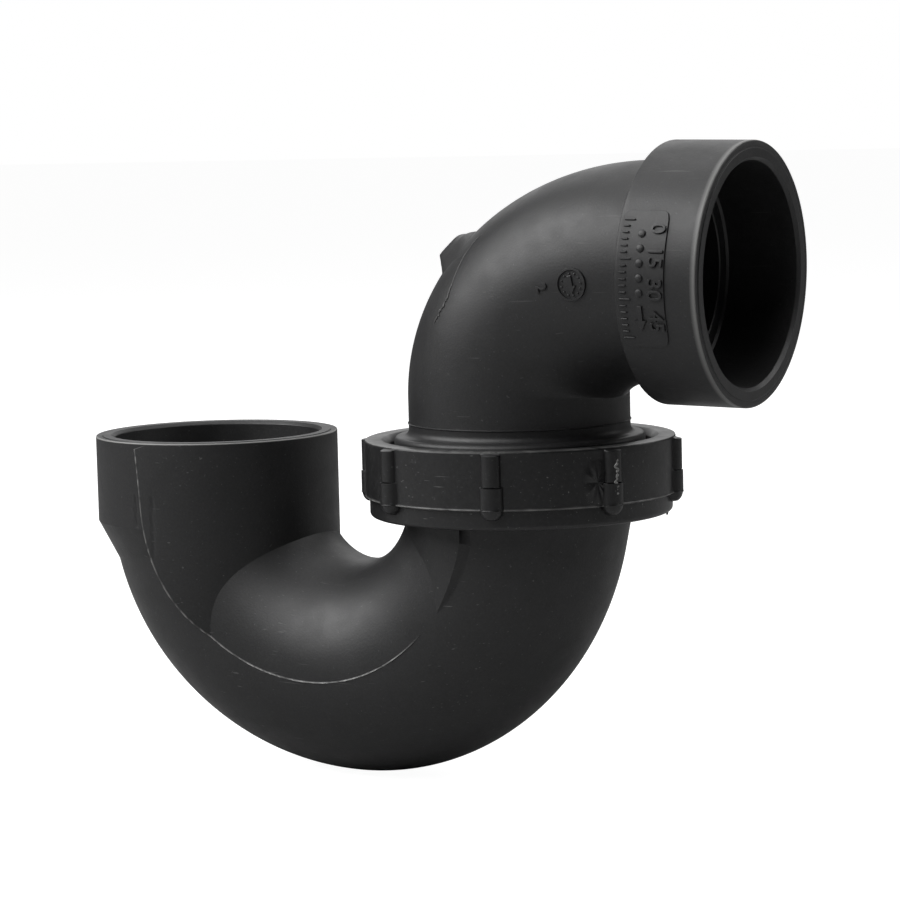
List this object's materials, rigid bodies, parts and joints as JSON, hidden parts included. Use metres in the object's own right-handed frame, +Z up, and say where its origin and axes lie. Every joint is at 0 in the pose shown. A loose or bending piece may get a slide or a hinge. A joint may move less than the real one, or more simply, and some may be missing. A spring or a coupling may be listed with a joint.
{
  "type": "p trap",
  "caption": "Drain trap: a U bend with an inlet socket, and a swivel elbow with an outlet socket, held on the bend by a threaded union nut over a rubber washer.",
  "frame": {"origin": "centre of the inlet hub's rim, on the inlet socket's axis", "axes": "+Z up out of the inlet socket; +X from the inlet to the union and on towards the outlet; +Y across the trap"},
  "size_m": [0.1698, 0.071, 0.145],
  "materials": {
    "abs_bend": "moulded black ABS, satin with a fine grain",
    "abs_elbow": "moulded black ABS, satin",
    "abs_nut": "moulded black ABS, slightly glossier than the bends",
    "rubber_washer": "matt black rubber"
  },
  "bodies": {
    "bend": {"trap_bend": "abs_bend"},
    "washer": {"union_washer": "rubber_washer"},
    "nut": {"union_nut": "abs_nut"},
    "elbow": {"trap_elbow": "abs_elbow"}
  },
  "joints": [
    {"name": "union_lift", "type": "slide", "parent": "bend", "child": "washer", "axis": [0, 0, 1], "range_m": [0, 0.00715]},
    {"name": "nut_turn", "type": "hinge", "parent": "washer", "child": "nut", "pos_m": [0.08255, 0, 0], "axis": [0, 0, 1], "range_deg": [0, 810]},
    {"name": "elbow_swivel", "type": "hinge", "parent": "washer", "child": "elbow", "pos_m": [0.08255, 0, 0], "axis": [0, 0, 1], "continuous": true}
  ],
  "couplings": [
    {"joint": "union_lift", "follows": "nut_turn", "m_per_rad": 0.00050532}
  ]
}
